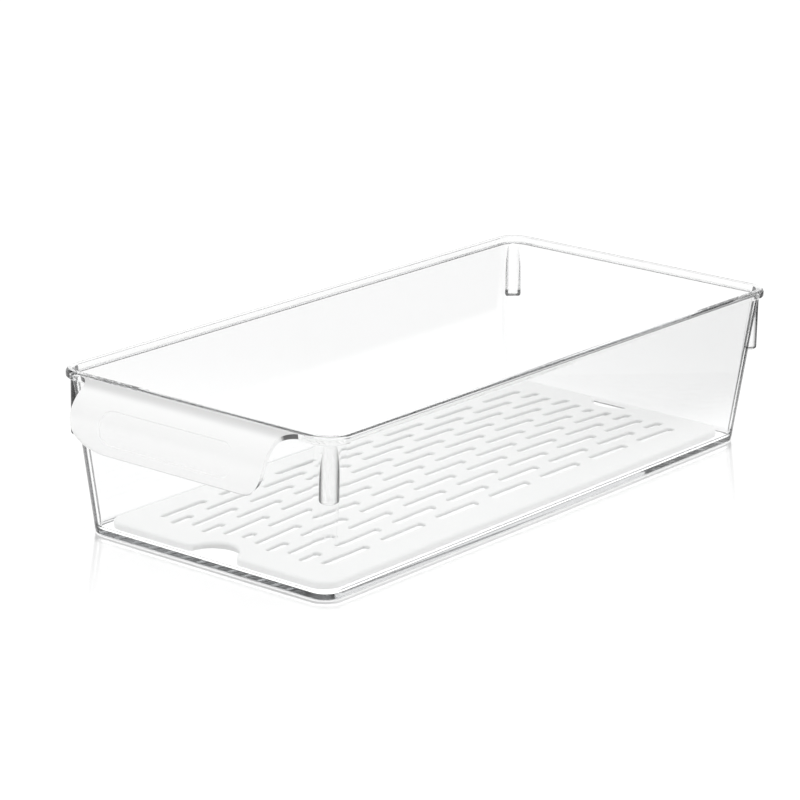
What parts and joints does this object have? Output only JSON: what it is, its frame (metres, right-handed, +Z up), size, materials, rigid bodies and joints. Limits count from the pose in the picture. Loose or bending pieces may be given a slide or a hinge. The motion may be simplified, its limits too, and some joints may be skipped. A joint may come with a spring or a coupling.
{
  "type": "fridge storage bin",
  "caption": "Shallow drafted storage bin of clear plastic with a beaded rim, corner pegs and a bent grip lip, holding a white slotted drain tray that lifts out.",
  "frame": {"origin": "middle of the bin's standing face, in the plane that it stands on", "axes": "+Z up, +Y along the bin's length away from the grip lip, +X across its width"},
  "size_m": [0.1706, 0.3733, 0.0815],
  "materials": {
    "clear_plastic": "polished clear plastic with a frosted grip lip",
    "white_plastic": "smooth satin white plastic"
  },
  "bodies": {
    "bin": {"bin": "clear_plastic"},
    "tray": {"drain_tray": "white_plastic"}
  },
  "joints": [
    {"name": "tray_lift", "type": "slide", "parent": "bin", "child": "tray", "axis": [0, 0, 1], "range_m": [0, 0.085]}
  ]
}
